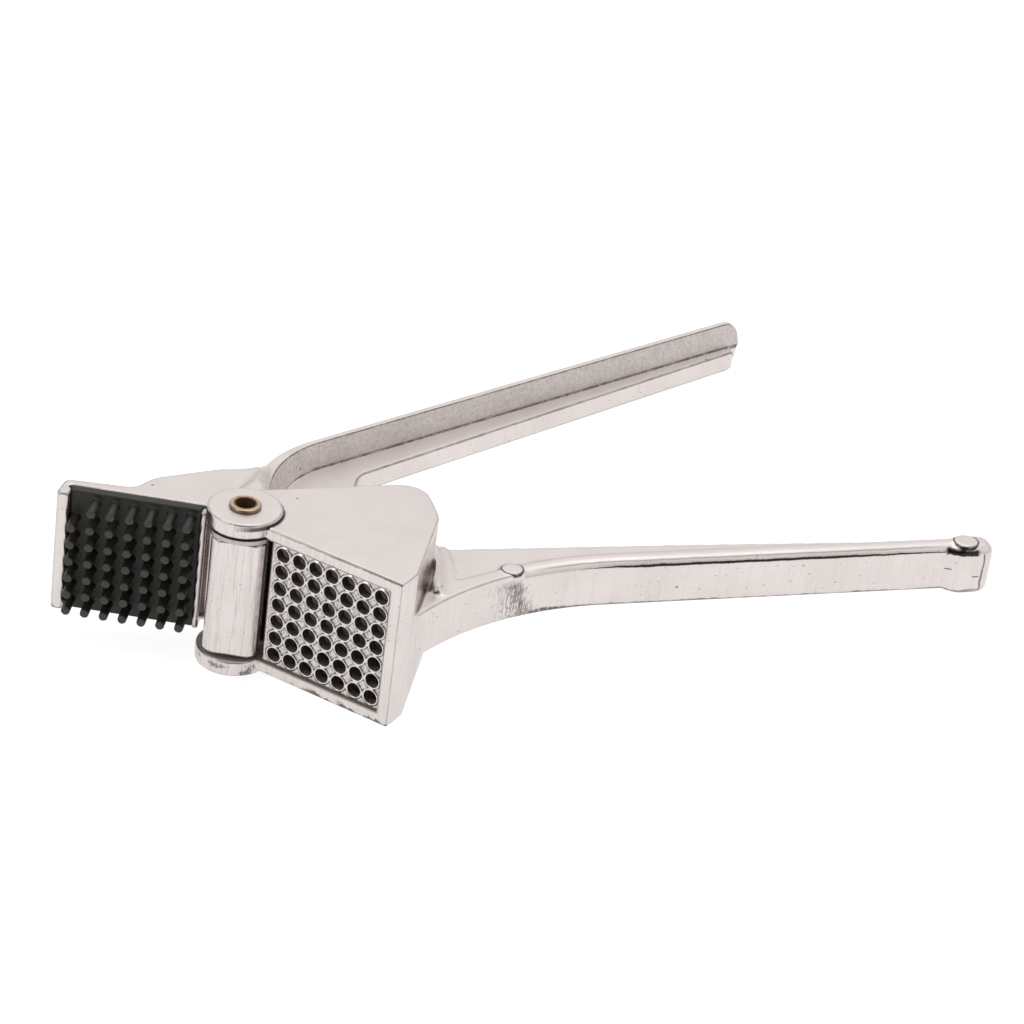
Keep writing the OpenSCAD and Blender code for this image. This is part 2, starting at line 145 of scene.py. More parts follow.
# Colours: the first five are the cast aluminium's, from clean to stained by garlic, the last two also
# painted shade
BARE = (0.93, 0.86, 0.835, 1.0)
DULLED = (0.85, 0.78, 0.75, 1.0)
SMUDGE = (0.27, 0.24, 0.225, 1.0)
DIRT_AND_SHADE = (0.05, 0.043, 0.038, 1.0)
STAIN_AND_SHADE = (0.3, 0.275, 0.245, 1.0)
PLASTIC = (0.019, 0.0185, 0.0155, 1.0)
PLASTIC_WORN = (0.04, 0.0385, 0.032, 1.0)
PLASTIC_TIP = (0.068, 0.065, 0.05, 1.0)
DUST = (0.2, 0.19, 0.165, 1.0)
RIVET_BRIGHT = (0.78, 0.6, 0.42, 1.0)
RIVET_DULL = (0.5, 0.36, 0.24, 1.0)
RIVET_HOLE = (0.17, 0.095, 0.055, 1.0)
RIVET_RIM = (0.12, 0.075, 0.05, 1.0)
WASHER_DARK = (0.4, 0.38, 0.36, 1.0)
WASHER_BRIGHT = (0.78, 0.74, 0.71, 1.0)

# Name of the attribute that holds each point's place in the section of the plunger's handle
SECTION = "place_in_section"


# ---- Small helpers for node trees ----

class Tree:
    """A material's or the world's node tree, with short names for what is used often."""

    def __init__(self, holder):
        holder.use_nodes = True
        self.tree = holder.node_tree
        self.tree.nodes.clear()

    def add(self, kind, **settings):
        node = self.tree.nodes.new(kind)
        for name, value in settings.items():
            setattr(node, name, value)
        return node

    def link(self, source, target):
        self.tree.links.new(source, target)

    def feed(self, socket, value):
        """Links a socket to another, or sets its number."""
        if isinstance(value, bpy.types.NodeSocket):
            self.link(value, socket)
        else:
            socket.default_value = value

    def math(self, operation, a, b=0.0, clamp=False):
        node = self.add("ShaderNodeMath", operation=operation, use_clamp=clamp)
        self.feed(node.inputs[0], a)
        self.feed(node.inputs[1], b)
        return node.outputs[0]

    def noise(self, where, scale, detail=4.0, roughness=0.5):
        node = self.add("ShaderNodeTexNoise")
        self.link(where, node.inputs["Vector"])
        node.inputs["Scale"].default_value = scale
        node.inputs["Detail"].default_value = detail
        node.inputs["Roughness"].default_value = roughness
        return node.outputs["Fac"]

    def stretched(self, where, scale):
        node = self.add("ShaderNodeMapping")
        self.link(where, node.inputs["Vector"])
        node.inputs["Scale"].default_value = scale
        return node.outputs["Vector"]

    def turned(self, where, degrees):
        """Coordinates about the hinge axis, turned into the frame of a piece that stands at an angle."""
        node = self.add("ShaderNodeMapping")
        self.link(where, node.inputs["Vector"])
        node.inputs["Rotation"].default_value = (0.0, 0.0, math.radians(-degrees))
        return node.outputs["Vector"]

    def split(self, vector):
        node = self.add("ShaderNodeSeparateXYZ")
        self.link(vector, node.inputs[0])
        return node.outputs[0], node.outputs[1], node.outputs[2]

    def radius(self, x, y):
        """Length of a vector in the plan, which is the distance from the hinge axis for a place."""
        return self.math("SQRT", self.math("ADD", self.math("MULTIPLY", x, x), self.math("MULTIPLY", y, y)))

    def below(self, value, limit, soft):
        """1 where a value is below a limit, fading to 0 over a soft edge."""
        return self.ramp(value, limit - soft, limit + soft, 1.0, 0.0)

    def above(self, value, limit, soft):
        return self.ramp(value, limit - soft, limit + soft)

    def within(self, value, low, high, soft):
        """1 where a value lies between two limits."""
        return self.both(self.above(value, low, soft), self.below(value, high, soft))

    def round_spot(self, x, y, centre, low, high, soft):
        """A ring, or a disc if low is below 0, about a point in the plan."""
        away = self.radius(self.math("SUBTRACT", x, centre[0]), self.math("SUBTRACT", y, centre[1]))
        return self.within(away, low, high, soft)

    def both(self, a, b):
        return self.math("MULTIPLY", a, b)

    def either(self, a, b):
        return self.math("MAXIMUM", a, b)

    def opposite(self, value):
        return self.math("SUBTRACT", 1.0, value)

    def strongest(self, *layers):
        """The highest of several masks, each times its own strength."""
        found = 0.0
        for mask, strength in layers:
            found = self.either(found, self.both(mask, strength))
        return found

    def flat(self):
        """1 on faces that look along the hinge axis, 0 on faces round it."""
        normal = self.add("ShaderNodeTexCoord").outputs["Normal"]
        return self.above(self.math("ABSOLUTE", self.split(normal)[2]), 0.8, 0.1)

    def spots(self, where, scale, size, share):
        """Small round spots in some of a Voronoi pattern's cells."""
        node = self.add("ShaderNodeTexVoronoi")
        self.link(where, node.inputs["Vector"])
        node.inputs["Scale"].default_value = scale
        lucky = self.add("ShaderNodeSeparateColor")
        self.link(node.outputs["Color"], lucky.inputs[0])
        near = self.below(node.outputs["Distance"], size, size * 0.4)
        return self.both(near, self.below(lucky.outputs[0], share, 0.01))

    def ramp(self, value, low, high, out_low=0.0, out_high=1.0):
        node = self.add("ShaderNodeMapRange")
        self.feed(node.inputs["Value"], value)
        ends = {"From Min": low, "From Max": high, "To Min": out_low, "To Max": out_high}
        for name, number in ends.items():
            node.inputs[name].default_value = number
        return node.outputs["Result"]

    def mix_colour(self, factor, a, b):
        node = self.add("ShaderNodeMix", data_type="RGBA")
        self.feed(node.inputs[0], factor)
        self.feed(node.inputs[6], a)
        self.feed(node.inputs[7], b)
        return node.outputs[2]

    def bump(self, height, strength, distance, normal=None):
        node = self.add("ShaderNodeBump")
        self.link(height, node.inputs["Height"])
        node.inputs["Strength"].default_value = strength
        node.inputs["Distance"].default_value = distance
        if normal is not None:
            self.link(normal, node.inputs["Normal"])
        return node.outputs["Normal"]

    def surface(self, **numbers):
        """A Principled shader on the output, with constants set on its own sockets."""
        shader = self.add("ShaderNodeBsdfPrincipled")
        for name, number in numbers.items():
            shader.inputs[name.replace("_", " ")].default_value = number
        out = self.add("ShaderNodeOutputMaterial")
        self.link(shader.outputs["BSDF"], out.inputs["Surface"])
        return shader


# ---- Materials ----

def aluminium_base(t, place, edge_shade_strength, shown):
    """What all cast aluminium here shares: satin where it looks along the hinge axis, brushed along the
    axis elsewhere, with blotches and pits, painted shade in its corners, and painted dark lines along its
    edges that stand in for dark reflections, where these are shown."""
    flat = t.flat()
    blotches = t.noise(place, 110.0, 5.0, 0.62)
    grain = t.noise(place, 2600.0, 3.0, 0.6)
    fine = t.noise(t.stretched(place, (2600.0, 2600.0, 90.0)), 1.0, 3.0, 0.65)
    coarse = t.noise(t.stretched(place, (520.0, 520.0, 28.0)), 1.0, 3.0, 0.6)
    broken = t.noise(place, 330.0, 4.0, 0.7)
    round_it = t.opposite(flat)
    x, y, _ = t.split(place)
    busy = t.ramp(t.radius(x, y), 8 * MM, 40 * MM, 1.0, 0.3)
    streaks = t.math("ADD", t.both(t.above(fine, 0.6, 0.1), 0.6), t.both(t.above(coarse, 0.62, 0.1), 0.2))
    streaks = t.both(t.both(streaks, round_it), busy)
    pits = t.spots(place, 210.0, 0.055, 0.2)
    specks = t.both(t.above(t.noise(place, 1500.0, 2.0, 0.6), 0.71, 0.03), round_it)
    # Painted shade in concave creases, and painted dark lines on convex edges standing in for their dark
    # reflections
    bend = t.add("ShaderNodeNewGeometry").outputs["Pointiness"]
    corner = t.both(t.below(bend, 0.482, 0.006), t.ramp(broken, 0.35, 0.6, 0.7, 0.85))
    edge = t.both(t.above(bend, 0.524, 0.006), t.ramp(broken, 0.35, 0.6, edge_shade_strength * 0.6, edge_shade_strength))
    colour = t.mix_colour(t.ramp(blotches, 0.3, 0.72), BARE, DULLED)
    smudge = t.strongest((pits, 0.9), (specks, 0.8), (streaks, 0.5))
    colour = t.mix_colour(smudge, colour, SMUDGE)
    colour = t.mix_colour(t.both(t.either(corner, edge), shown), colour, DIRT_AND_SHADE)
    rough = t.math("ADD", t.ramp(blotches, 0.3, 0.7, 0.2, 0.27), t.both(flat, 0.2))
    rough = t.math("ADD", rough, t.ramp(grain, 0.3, 0.7, -0.02, 0.04))
    height = t.math("ADD", t.both(t.math("ADD", fine, t.both(coarse, 0.5)), round_it), t.both(grain, 0.3))
    height = t.math("SUBTRACT", height, t.both(pits, 2.0))
    return colour, rough, t.bump(height, 0.35, 0.04 * MM)


def cast_aluminium(name, edge_shade_strength, stained_and_shaded, dirt_and_shade_lines):
    """Cast aluminium. Functions of the node tree and coordinates say where garlic stain and painted shade
    darken it, where dirt and painted shade lines lie, and where the painted shade of corners and edges and
    the gloss that all castings share are shown."""
    material = bpy.data.materials.new(name)
    t = Tree(material)
    shader = t.surface(Metallic=1.0)
    place = t.add("ShaderNodeTexCoord").outputs["Object"]
    lines, shown = dirt_and_shade_lines(t, place)
    colour, rough, normal = aluminium_base(t, place, edge_shade_strength, shown)
    # Dirt and painted shade lines
    colour = t.mix_colour(lines, colour, DIRT_AND_SHADE)
    rough = t.math("ADD", rough, t.both(t.opposite(shown), 0.3))
    stain_and_shade = stained_and_shaded(t, place)
    # Garlic stain and painted shade darken the chamber, the sieve's holes and back, and the pressing face
    t.link(t.mix_colour(stain_and_shade, colour, STAIN_AND_SHADE), shader.inputs["Base Color"])
    t.link(t.math("ADD", rough, t.both(stain_and_shade, 0.3)), shader.inputs["Roughness"])
    t.link(normal, shader.inputs["Normal"])
    return material


def level_of(t, place):
    """Height above the middle of the hinge."""
    return t.math("SUBTRACT", t.split(place)[2], HINGE_Z)


def inside_half(t, place, half, soft):
    """1 where a place is less than a given height above or below the middle of the hinge."""
    return t.below(t.math("ABSOLUTE", level_of(t, place)), half, soft)


def hopper_dirt_and_shade(t, place):
    """A painted shadow along the ear's outline on its side towards the plate, dark outlines of the two round
    pads, dirt along the rims, and all that lies on the handle's front. The flute is left almost free of the
    painted shade of corners and edges."""
    x, y, _ = t.split(place)
    level = level_of(t, place)
    # Painted shadow along the ear's outline, on its side towards the plate
    towards_plate = t.above(t.math("ADD", t.both(x, 0.9), t.both(y, -0.42)), 0.15 * EAR_R, 0.25 * EAR_R)
    ear = t.both(t.round_spot(x, y, (0.0, 0.0), EAR_R - 0.08 * MM, EAR_R + 0.3 * MM, 0.08 * MM),
                 t.within(level, PLATE_HALF - 0.3 * MM, PLATE_HALF + 0.55 * MM, 0.1 * MM))
    ear = t.both(ear, towards_plate)
    pads = 0.0
    for pad_x, pad_y, size in (END_PAD, ROOT_PAD):
        ring = t.round_spot(x, y, (pad_x, pad_y), size - 0.12 * MM, size + 0.16 * MM, 0.1 * MM)
        pads = t.either(pads, ring)
    pads = t.both(pads, t.above(level, HANDLE_HALF - 0.7 * MM, 0.2 * MM))
    front = t.both(t.below(y, HOPPER_HANDLE_FRONT + 2.2 * MM, 0.3 * MM), t.above(x, 41 * MM, 2 * MM))
    lines = t.either(t.either(ear, pads), t.both(front_dirt_and_shade(t, place, x, level), front))
    lines = t.either(lines, rim_grime(t, place, level))
    flute = t.both(t.round_spot(x, y, FLUTE, -1.0, 4.5 * MM, 1.0 * MM),
                   t.within(level, -3.0 * MM, 13.5 * MM, 1.0 * MM))
    return lines, t.ramp(flute, 0.0, 1.0, 1.0, 0.25)


def rim_grime(t, place, level):
    """Dark dirt along the front edges of the two side plates, and smears on the lower ear."""
    along, depth, _ = t.split(t.turned(place, SIEVE_ANGLE))
    rough = t.noise(place, 520.0, 4.0, 0.7)
    front = t.below(depth, RIM_FRONT + 0.3 * MM, 0.12 * MM)
    inset = t.math("SUBTRACT", level, PLATE_HALF)
    inset = t.math("ADD", inset, t.ramp(rough, 0.3, 0.7, -0.2 * MM, 0.2 * MM))
    upper = t.both(t.within(inset, -0.3 * MM, 1.0 * MM, 0.12 * MM), t.above(along, 6.5 * MM, 1.0 * MM))
    upper = t.both(upper, t.ramp(along, 8 * MM, 30 * MM, 0.25, 0.75))
    ragged = t.math("ADD", level, t.ramp(rough, 0.3, 0.7, -0.8 * MM, 0.8 * MM))
    lower = t.both(t.below(ragged, 0.7 * MM - PLATE_HALF, 0.2 * MM), t.above(along, 16.0 * MM, 3.0 * MM))
    rims = t.both(t.either(upper, t.both(lower, 0.8)), front)
    ear = t.both(t.below(t.radius(along, depth), EAR_R + 0.5 * MM, 0.2 * MM),
                 t.below(level, 1.3 * MM - PLATE_HALF, 0.4 * MM))
    smear = t.both(t.both(ear, t.above(t.noise(place, 230.0, 4.0, 0.7), 0.55, 0.04)), 0.75)
    return t.either(rims, smear)


def front_dirt_and_shade(t, place, x, level):
    """All that lies on the front of the hopper's handle: painted shade along the shoulder, dirt and marks.
    """
    wander = t.ramp(t.noise(place, 260.0, 4.0, 0.7), 0.3, 0.7, -0.28 * MM, 0.28 * MM)
    hairs = t.noise(t.stretched(place, (4200.0, 4200.0, 420.0)), 1.0, 3.0, 0.7)
    speckle = t.noise(t.stretched(place, (2400.0, 2400.0, 900.0)), 1.0, 3.0, 0.7)
    brushed = t.either(hairs, speckle)
    wobbly = t.math("ADD", level, wander)
    upright = t.opposite(t.flat())
    thick, thin = lower_edge(t, x, wobbly, brushed)
    return t.strongest(
        (shoulder_line(t, x, level, wander), 1.0),
        (fine_line(t, x, level, wander), 0.5),
        (t.both(thick, upright), 0.9),
        (t.both(thin, upright), 0.8),
        (scuff(t, x, level, brushed), 0.9),
        (pad_patch(t, x, wobbly), 1.0),
        (knob_corner(t, x, level, wander), 0.85),
        (casting_marks(t, x, level), 0.9),
    )


def shoulder_line(t, x, level, wander):
    """A black line of painted shade along the shoulder, widest along the middle of the handle."""
    start, middle = 62 * MM, 3.75 * MM
    widest, narrowest = 0.24 * MM, 0.06 * MM
    half_width = t.ramp(x, start, 74 * MM, 0.0, widest)
    half_width = t.math("MINIMUM", half_width, t.ramp(x, 112 * MM, 136 * MM, widest, narrowest))
    off = t.math("ABSOLUTE", t.math("ADD", t.math("SUBTRACT", level, middle), t.both(wander, 0.35)))
    return t.both(t.above(t.math("SUBTRACT", half_width, off), 0.0, 0.07 * MM),
                  t.within(x, start, 135 * MM, 0.5 * MM))


def fine_line(t, x, level, wander):
    """A fine line where the shoulder meets the handle's top."""
    line = t.within(t.math("ADD", level, t.both(wander, 0.2)), 4.5 * MM, 4.66 * MM, 0.08 * MM)
    return t.both(line, t.within(x, 55 * MM, 132 * MM, 3 * MM))


def lower_edge(t, x, wobbly, brushed):
    """Dirt along the handle's lower edge: a thick speckled stretch at the bend, and a thin one after it."""
    edge_at = t.ramp(x, 50 * MM, 74 * MM, -3.3 * MM, -4.3 * MM)
    thick = t.both(t.below(t.math("SUBTRACT", wobbly, edge_at), 0.0, 0.2 * MM),
                   t.within(x, 50 * MM, 78 * MM, 3 * MM))
    thick = t.both(thick, t.above(brushed, 0.47, 0.06))
    thin = t.both(t.below(wobbly, -4.1 * MM, 0.12 * MM), t.within(x, 56 * MM, 141 * MM, 3 * MM))
    return thick, thin


def scuff(t, x, level, brushed):
    """Brushed scuffs that lean across the handle's bend."""
    across = t.math("ADD", x, t.both(level, 0.35))
    core = t.both(t.above(across, 46.2 * MM, 4.6 * MM), t.below(across, 51.6 * MM, 2.0 * MM))
    needed = t.math("SUBTRACT", 0.66, t.both(core, 0.19))
    hatched = t.above(t.math("SUBTRACT", brushed, needed), 0.0, 0.05)
    return t.both(t.both(core, hatched), t.within(level, -4.8 * MM, 3.4 * MM, 0.7 * MM))


def pad_patch(t, x, wobbly):
    """A rough patch under the end pad."""
    return t.both(t.within(x, END_PAD[0] - 4.2 * MM, END_PAD[0] + 2.0 * MM, 0.35 * MM),
                  t.within(wobbly, 3.3 * MM, 4.5 * MM, 0.15 * MM))


def knob_corner(t, x, level, wander):
    """A dark line down the knob's front corner."""
    return t.both(t.within(t.math("ADD", x, wander), 141.4 * MM, 141.75 * MM, 0.12 * MM),
                  t.within(level, -4.6 * MM, 3.6 * MM, 0.3 * MM))


def casting_marks(t, x, level):
    """Two short dashes that the casting left on the knob."""
    length, half_width = 1.3 * MM, 0.12 * MM
    marks = 0.0
    for left, height in ((134.3 * MM, 0.2 * MM), (139.8 * MM, -1.25 * MM)):
        mark = t.both(t.within(x, left, left + length, 0.15 * MM),
                      t.within(level, height - half_width, height + half_width, 0.08 * MM))
        marks = t.either(marks, mark)
    return marks


def plunger_shade_lines_and_dull_face(t, place):
    """Painted shade lines along the top and the foot of the handle's slanting face, standing in for the dark
    reflection on its top edge and the shade in the crease at its foot, and the dull tone of that face, where
    the shared painted shade of corners and edges isn't shown."""
    section = t.add("ShaderNodeAttribute", attribute_name=SECTION).outputs["Vector"]
    depth, level, past = t.split(section)
    top = t.math("ADD", t.both(past, SLANT_TOP_GROWS), SLANT_TOP)
    foot = t.math("ADD", t.both(past, SLANT_FOOT_GROWS), FLANGE_T)
    from_top = t.math("SUBTRACT", depth, top)
    from_foot = t.math("SUBTRACT", depth, foot)
    here = t.both(t.below(past, SLANT_ENDS - 4.0, 3.0), t.above(level, PLUNGER_WEB_TOP - 0.7 * MM, 0.2 * MM))
    # Painted shade lines at the slanting face's top edge and at the crease at its foot
    along_top = t.both(t.above(from_top, -0.06 * MM, 0.04 * MM),
                       t.above(level, HANDLE_HALF - 0.28 * MM, 0.06 * MM))
    along_foot = t.both(t.within(from_foot, -0.05 * MM, 0.07 * MM, 0.04 * MM),
                        t.below(level, PLUNGER_WEB_TOP + 0.25 * MM, 0.08 * MM))
    broken = t.ramp(t.noise(place, 700.0, 3.0, 0.6), 0.35, 0.6, 0.45, 0.78)
    lines = t.both(t.either(along_top, along_foot), broken)
    face = t.both(t.above(from_top, -0.05 * MM, 0.05 * MM), t.below(from_foot, 0.1 * MM, 0.1 * MM))
    dull = t.both(face, t.ramp(t.noise(place, 1400.0, 3.0, 0.7), 0.35, 0.65, 0.06, 0.26))
    lines = t.both(t.either(lines, dull), here)
    hidden = t.both(t.within(depth, 0.6 * MM, 6.0 * MM, 0.1 * MM), t.below(from_foot, 0.5 * MM, 0.1 * MM))
    return lines, t.opposite(t.both(hidden, here))


def sieve_grime(t, place):
    """The face between the raised lips is speckled, and darker than they are."""
    depth = t.split(t.turned(place, SIEVE_ANGLE))[1]
    speckle = t.ramp(t.noise(place, 1900.0, 3.0, 0.7), 0.44, 0.64, 0.05, 0.5)
    return t.both(t.above(depth, SIEVE_FRONT - 0.12 * MM, 0.05 * MM), speckle), 1.0


def hopper_stain_and_shade(t, place):
    """The walls of the round chamber, darkened as garlic stain and as painted shade."""
    x, y, _ = t.split(place)
    inside = t.below(t.radius(x, y), CHAMBER_R + 0.3 * MM, 0.2 * MM)
    return t.both(inside, inside_half(t, place, CHAMBER_HALF + 0.3 * MM, 0.2 * MM))


def sieve_stain_and_shade(t, place):
    """The sieve's holes and back, darkened as garlic stain and as painted shade."""
    depth = t.split(t.turned(place, SIEVE_ANGLE))[1]
    return t.both(t.above(depth, SIEVE_FRONT + 0.35 * MM, 0.25 * MM), 0.95)


def plunger_stain_and_shade(t, place):
    """The plunger's pressing face, darkened as garlic stain and as painted shade behind the sieve."""
    along, across, _ = t.split(t.turned(place, PLUNGER_ANGLE))
    face = t.both(t.below(across, PLUNGER_FACE + 0.3 * MM, 0.1 * MM), t.above(across, -0.5 * MM, 0.1 * MM))
    face = t.both(face, t.above(along, EAR_R + 0.6 * MM, 0.1 * MM))
    return t.both(t.both(face, inside_half(t, place, CHAMBER_HALF, 0.1 * MM)), 0.9)


def black_plastic():
    material = bpy.data.materials.new("black_plastic")
    t = Tree(material)
    shader = t.surface(Metallic=0.0)
    place = t.add("ShaderNodeTexCoord").outputs["Object"]
    grain = t.noise(place, 2500.0, 3.0, 0.6)
    wear = t.noise(place, 260.0, 4.0, 0.6)
    dust = t.above(t.noise(place, 1300.0, 4.0, 0.7), 0.66, 0.06)
    colour = t.mix_colour(t.ramp(wear, 0.4, 0.75), PLASTIC, PLASTIC_WORN)
    tip = t.above(t.split(t.turned(place, HEAD_ANGLE))[1], PIN_TIP - 0.12 * MM, 0.06 * MM)
    colour = t.mix_colour(t.both(tip, 0.7), colour, PLASTIC_TIP)
    colour = t.mix_colour(t.both(dust, 0.25), colour, DUST)
    t.link(colour, shader.inputs["Base Color"])
    t.link(t.ramp(wear, 0.3, 0.7, 0.36, 0.52), shader.inputs["Roughness"])
    t.link(t.bump(grain, 0.3, 0.03 * MM), shader.inputs["Normal"])
    return material


def rivet_metal():
    """Yellowish metal with fine turned rings. Its upper end is open, with a dark hole and a dark rim."""
    material = bpy.data.materials.new("rivet_metal")
    t = Tree(material)
    shader = t.surface(Metallic=1.0)
    place = t.add("ShaderNodeTexCoord").outputs["Object"]
    wear = t.noise(place, 700.0, 4.0, 0.6)
    x, y, z = t.split(place)
    radius = t.radius(x, y)
    ring_spacing = 0.16 * MM
    rings = t.math("SINE", t.both(radius, 2 * math.pi / ring_spacing))
    colour = t.mix_colour(t.ramp(wear, 0.35, 0.7), RIVET_BRIGHT, RIVET_DULL)
    open_end = t.above(z, HINGE_Z, 1.0 * MM)
    inside = t.both(open_end, t.below(radius, RIVET_HOLE_R + 0.3 * MM, 0.12 * MM))
    colour = t.mix_colour(inside, colour, RIVET_HOLE)
    rim = t.both(open_end, t.within(radius, 2.72 * MM, 3.2 * MM, 0.06 * MM))
    colour = t.mix_colour(t.both(rim, 0.7), colour, RIVET_RIM)
    t.link(colour, shader.inputs["Base Color"])
    t.link(t.ramp(inside, 0.0, 1.0, 1.0, 0.3), shader.inputs["Metallic"])
    t.link(t.ramp(wear, 0.3, 0.7, 0.12, 0.28), shader.inputs["Roughness"])
    t.link(t.bump(t.math("ADD", wear, t.both(rings, 0.15)), 0.3, 0.03 * MM), shader.inputs["Normal"])
    return material


def washer_steel():
    material = bpy.data.materials.new("washer_steel")
    t = Tree(material)
    shader = t.surface(Metallic=1.0)
    place = t.add("ShaderNodeTexCoord").outputs["Object"]
    wear = t.noise(place, 900.0, 4.0, 0.6)
    t.link(t.mix_colour(wear, WASHER_DARK, WASHER_BRIGHT), shader.inputs["Base Color"])
    t.link(t.ramp(wear, 0.3, 0.7, 0.3, 0.45), shader.inputs["Roughness"])
    t.link(t.bump(wear, 0.2, 0.03 * MM), shader.inputs["Normal"])
    return material


def paint(node, material):
    for slot in NODES[node].material_slots:
        slot.material = material


# ---- Shapes ----

def add_remesh(piece, voxel):
    """Remeshes a piece in small squares when the scene is evaluated."""
    remesh = piece.modifiers.new("remesh", "REMESH")
    remesh.mode = "VOXEL"
    remesh.voxel_size = voxel
    remesh.use_smooth_shade = True


def soften(node, voxel, rounds):
    """Rounds a piece's edges a little, by remeshing it finely and smoothing it."""
    piece = NODES[node]
    add_remesh(piece, voxel)
    smooth = piece.modifiers.new("smooth", "SMOOTH")
    smooth.factor = 0.5
    smooth.iterations = rounds


def relax(points, edges, amount, rounds):
    """Moves each point towards the middle of its neighbours, each by its own amount."""
    chosen = (amount[edges[:, 0]] > 0.0) | (amount[edges[:, 1]] > 0.0)
    a, b = edges[chosen].T
    size = len(points)
    count = np.maximum(np.bincount(a, minlength=size) + np.bincount(b, minlength=size), 1)
    for _ in range(rounds):
        for axis in range(3):
            line = points[:, axis]
            total = np.bincount(a, line[b], size) + np.bincount(b, line[a], size)
            line += amount * (total / count - line)


def near(points, centre, full, none):
    """1 within a distance of a point, falling smoothly to 0 at a greater one."""
    away = np.linalg.norm(points - np.array(centre), axis=1)
    share = np.clip((none - away) / (none - full), 0.0, 1.0)
    return share * share * (3.0 - 2.0 * share)


def in_plan_turned(x, y, degrees):
    """A place or a step in the plan, along and across a direction that stands at an angle."""
    turn = math.radians(degrees)
    return x * math.cos(turn) + y * math.sin(turn), y * math.cos(turn) - x * math.sin(turn)


def in_handle(points):
    """How far the points lie along and across the plunger's handle."""
    return in_plan_turned(points[:, 0], points[:, 1], OPENING)


def place_in_handle(points):
    """For each point, its depth behind the outside of the plunger's handle, its level, how many degrees it
    is past the bend's start, and the direction inwards, along and across the handle."""
    along, across = in_handle(points)
    level = points[:, 2] - HINGE_Z
    out_x = np.minimum(along - PLUNGER_BEND_AT, 0.0)
    out_y = across - (PLUNGER_HANDLE_OFF - PLUNGER_BEND_R)
    reach = np.hypot(out_x, out_y)
    past = np.degrees(np.arctan2(-out_x, np.maximum(out_y, 1e-6)))
    return PLUNGER_BEND_R - reach, level, past, (-out_x / reach, -out_y / reach)


def onto_slant(depth, level, past):
    """Where points of the handle's section go. The solid's outline there is a round bead, an upright face
    below it and the web. Points on it go onto one slanting line, as far along it as they were along the
    outline, and points under them stay behind that line."""
    top = SLANT_TOP + SLANT_TOP_GROWS * past
    foot = FLANGE_T + SLANT_FOOT_GROWS * past
    drop = HANDLE_HALF - PLUNGER_WEB_TOP
    bead = HANDLE_HALF - SHOULDER_R
    turned = np.arctan2(level - bead, depth - SHOULDER_R)
    first = np.arctan2(HANDLE_HALF - bead, top - SHOULDER_R)
    last = -math.acos(FLANGE_T / SHOULDER_R - 1.0)
    low = bead + SHOULDER_R * math.sin(last)
    arc = SHOULDER_R * (first - last)
    from_bead = np.hypot(level - bead, depth - SHOULDER_R)
    bulge = 2 * SHOULDER_R + SKIN
    on_bead = (turned < first) & (turned > last) & (from_bead > SHOULDER_R - SKIN) & (depth < bulge)
    on_face = (level <= low) & (level > PLUNGER_WEB_TOP) & (abs(depth - FLANGE_T) < SKIN)
    on_web = (abs(level - PLUNGER_WEB_TOP) < SKIN) & (depth > FLANGE_T) & (depth < foot) & ~on_face
    path = np.where(on_bead, SHOULDER_R * (first - turned), arc + low - level)
    path = np.where(on_web, arc + low - PLUNGER_WEB_TOP + depth - FLANGE_T, path)
    path = np.clip(path / (arc + low - PLUNGER_WEB_TOP + foot - FLANGE_T), 0.0, 1.0)
    on_skin = on_bead | on_face | on_web
    limit = top + (foot - top) * (HANDLE_HALF - level) / drop
    under_skin = (level > PLUNGER_WEB_TOP) & (depth < bulge) & ~on_skin
    new_depth = np.where(under_skin, np.minimum(depth, limit), depth)
    new_depth = np.where(on_skin, top + (foot - top) * path, new_depth)
    new_level = np.where(on_skin, HANDLE_HALF - drop * path, level)
    return new_depth, new_level


def slant_flange(points):
    """Gives the inside of the plunger's handle the draft that the casting has, fading out at the bend's
    end. Returns each point's new place in the section, for the material."""
    depth, level, past, inwards = place_in_handle(points)
    new_depth, new_level = onto_slant(depth, level, past)
    fade = 12.0
    share = np.clip((SLANT_ENDS - past) / fade, 0.0, 1.0) * (inwards[1] < 0.0)
    depth_move, level_move = share * (new_depth - depth), share * (new_level - level)
    move = in_plan_turned(inwards[0] * depth_move, inwards[1] * depth_move, -OPENING)
    points[:, 0] += move[0]
    points[:, 1] += move[1]
    points[:, 2] += level_move
    return np.column_stack((depth + depth_move, level + level_move, past))


def plunger_shape(points, edges):
    """The slanting flange, a flowing root instead of its flat slopes, and a rounder handle end."""
    section = slant_flange(points)
    along = in_handle(points)[0]
    root_at = (10.0 * MM, 18.5 * MM, HINGE_Z + 8.5 * MM)
    root = near(points, root_at, 5.0 * MM, 11.0 * MM)
    relax(points, edges, 0.5 * root, rounds=80)
    end = np.clip((along - (PLUNGER_HANDLE_REACH - 5.0 * MM)) / (3.0 * MM), 0.0, 1.0)
    relax(points, edges, 0.5 * end, rounds=40)
    return section


def hopper_shape(points, edges):
    """A flowing flute where the handle leaves the hopper's wall, and a rounder end."""
    flute_at = (FLUTE[0], FLUTE[1] + 0.5 * MM, HINGE_Z + 6.5 * MM)
    flute = near(points, flute_at, 2.0 * MM, 5.0 * MM)
    relax(points, edges, 0.5 * flute, rounds=30)
    end = np.clip((points[:, 0] - (HOPPER_HANDLE_REACH - 3.0 * MM)) / (2.0 * MM), 0.0, 1.0)
    relax(points, edges, 0.5 * end, rounds=12)
    no_section = np.zeros((len(points), 3))
    return no_section


def remeshed_copy(node, voxel):
    """A mesh of a CAD piece, remeshed in small squares. The piece itself isn't changed."""
    helper = NODES[node].copy()
    bpy.context.collection.objects.link(helper)
    add_remesh(helper, voxel)
    graph = bpy.context.evaluated_depsgraph_get()
    mesh = bpy.data.meshes.new_from_object(helper.evaluated_get(graph))
    bpy.data.objects.remove(helper)
    mesh.name = node + "_casting"
    return mesh


